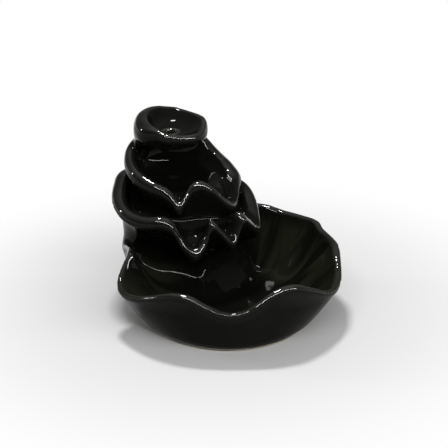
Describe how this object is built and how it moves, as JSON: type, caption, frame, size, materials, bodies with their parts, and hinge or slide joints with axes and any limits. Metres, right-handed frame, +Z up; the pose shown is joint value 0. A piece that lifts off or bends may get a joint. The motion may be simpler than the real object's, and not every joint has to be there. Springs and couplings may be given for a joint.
{
  "type": "backflow incense burner",
  "caption": "Glazed ceramic backflow incense burner: cup with smoke hole over a grotto, pouring lips down a hill, folded dish below.",
  "frame": {"origin": "on the table, under the middle of the whole outline", "axes": "+Z up along the smoke hole, +X along the width to the viewer's right, front towards -Y"},
  "size_m": [0.11, 0.102, 0.092],
  "materials": {
    "glaze": "gloss black glaze"
  },
  "bodies": {
    "root": {"burner": "glaze"}
  },
  "joints": []
}
